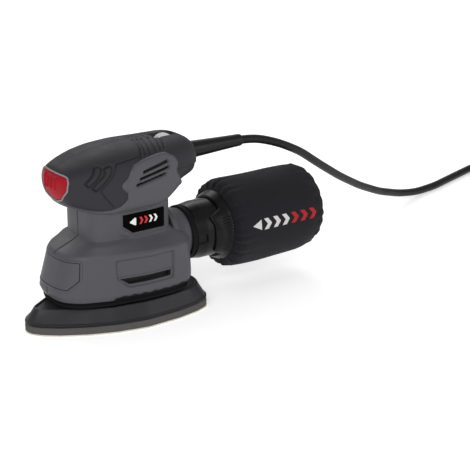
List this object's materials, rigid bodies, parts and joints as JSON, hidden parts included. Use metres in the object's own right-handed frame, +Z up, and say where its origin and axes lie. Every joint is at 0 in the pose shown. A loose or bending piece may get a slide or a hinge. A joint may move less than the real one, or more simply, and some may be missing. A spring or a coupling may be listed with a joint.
{
  "type": "detail palm sander",
  "caption": "Corded palm-grip sander with a pointed delta pad, soft-grip head, front rocker switch, rear dust port and cylindrical fabric dust bag.",
  "frame": {"origin": "where the motor centre line meets the working face of the abrasive sheet", "axes": "+Z up along the motor shaft, -X towards the point of the pad, +X towards the dust bag, Y across"},
  "size_m": [0.6881, 0.1634, 0.129],
  "materials": {
    "nylon": "fine-textured moulded nylon",
    "soft_rubber": "matt thermoplastic rubber",
    "red_rubber": "matt red rubber",
    "black_plastic": "satin black",
    "cord_vinyl": "satin black vinyl",
    "pale_plastic": "light grey",
    "badge": "gloss black",
    "steel": "bright",
    "zinc": "die-cast",
    "brass": "pressed brass",
    "copper": "enamelled copper wire",
    "laminated": "stacked steel laminations",
    "carbon": "pressed carbon",
    "foam": "closed-cell foam with hook face",
    "grit": "coated abrasive",
    "cloth": "black woven polyester",
    "board": "circuit board"
  },
  "bodies": {
    "sander_body": {"housing_left": "nylon", "housing_right": "nylon", "nose_panel": "nylon", "dust_port": "nylon", "soft_grip_left": "soft_rubber", "soft_grip_right": "soft_rubber", "dust_skirt": "soft_rubber", "platen_post_1": "soft_rubber", "platen_post_2": "soft_rubber", "platen_post_3": "soft_rubber", "platen_post_4": "soft_rubber", "spigot_seal": "soft_rubber", "cord_strain_relief": "soft_rubber", "badge_left": "badge", "badge_right": "badge", "housing_screw_1": "steel", "housing_screw_2": "steel", "housing_screw_3": "steel", "housing_screw_4": "steel", "upper_bearing": "steel", "lower_bearing": "steel", "brush_spring_front": "steel", "brush_spring_rear": "steel", "cord_clamp_screw_left": "steel", "cord_clamp_screw_right": "steel", "switch_body": "black_plastic", "cord_clamp": "black_plastic", "coil_tie": "black_plastic", "plug_body": "black_plastic", "mains_cord": "cord_vinyl", "cord_coil": "cord_vinyl", "speed_board": "board", "field_core": "laminated", "field_coil_left": "copper", "field_coil_right": "copper", "bearing_plate": "zinc", "brush_holder_front": "brass", "brush_holder_rear": "brass", "plug_pin_left": "brass", "plug_pin_right": "brass"},
    "switch": {"switch_boot": "red_rubber", "switch_rocker": "black_plastic"},
    "dial": {"speed_dial": "pale_plastic"},
    "rotor": {"rotor_shaft": "steel", "pad_screw": "steel", "armature_core": "laminated", "armature_winding_upper": "copper", "armature_winding_lower": "copper", "commutator": "copper", "cooling_fan": "black_plastic", "eccentric": "zinc"},
    "pad": {"platen": "black_plastic", "foam_pad": "foam", "abrasive_sheet": "grit", "pad_bearing": "steel"},
    "adapter": {"bag_adapter": "black_plastic"},
    "bag": {"bag_ring": "black_plastic", "dust_bag": "cloth"},
    "front_brush": {"brush_front": "carbon"},
    "rear_brush": {"brush_rear": "carbon"}
  },
  "joints": [
    {"name": "power_switch", "type": "hinge", "parent": "sander_body", "child": "switch", "pos_m": [-0.0436, 0, 0.106], "axis": [0, 1, 0], "range_deg": [-3, 3]},
    {"name": "speed_dial_turn", "type": "hinge", "parent": "sander_body", "child": "dial", "pos_m": [0.0385, 0, 0.1176], "axis": [0, 1, 0], "range_deg": [-120, 120]},
    {"name": "rotor_spin", "type": "hinge", "parent": "sander_body", "child": "rotor", "pos_m": [0, 0, 0.06], "axis": [0, 0, 1], "continuous": true},
    {"name": "pad_orbit", "type": "hinge", "parent": "rotor", "child": "pad", "pos_m": [0.001, 0, 0.0255], "axis": [0, 0, 1], "continuous": true},
    {"name": "adapter_twist", "type": "hinge", "parent": "sander_body", "child": "adapter", "pos_m": [0.06, 0, 0.0485], "axis": [1, 0, 0], "range_deg": [0, 25]},
    {"name": "bag_pull", "type": "slide", "parent": "adapter", "child": "bag", "axis": [1, 0, 0], "range_m": [0, 0.02]},
    {"name": "front_brush_slide", "type": "slide", "parent": "sander_body", "child": "front_brush", "axis": [-1, 0, 0], "range_m": [0, 0.0025], "deforming": ["brush_spring_front"]},
    {"name": "rear_brush_slide", "type": "slide", "parent": "sander_body", "child": "rear_brush", "axis": [1, 0, 0], "range_m": [0, 0.0025], "deforming": ["brush_spring_rear"]}
  ],
  "couplings": [
    {"joint": "pad_orbit", "follows": "rotor_spin", "ratio": -1}
  ]
}
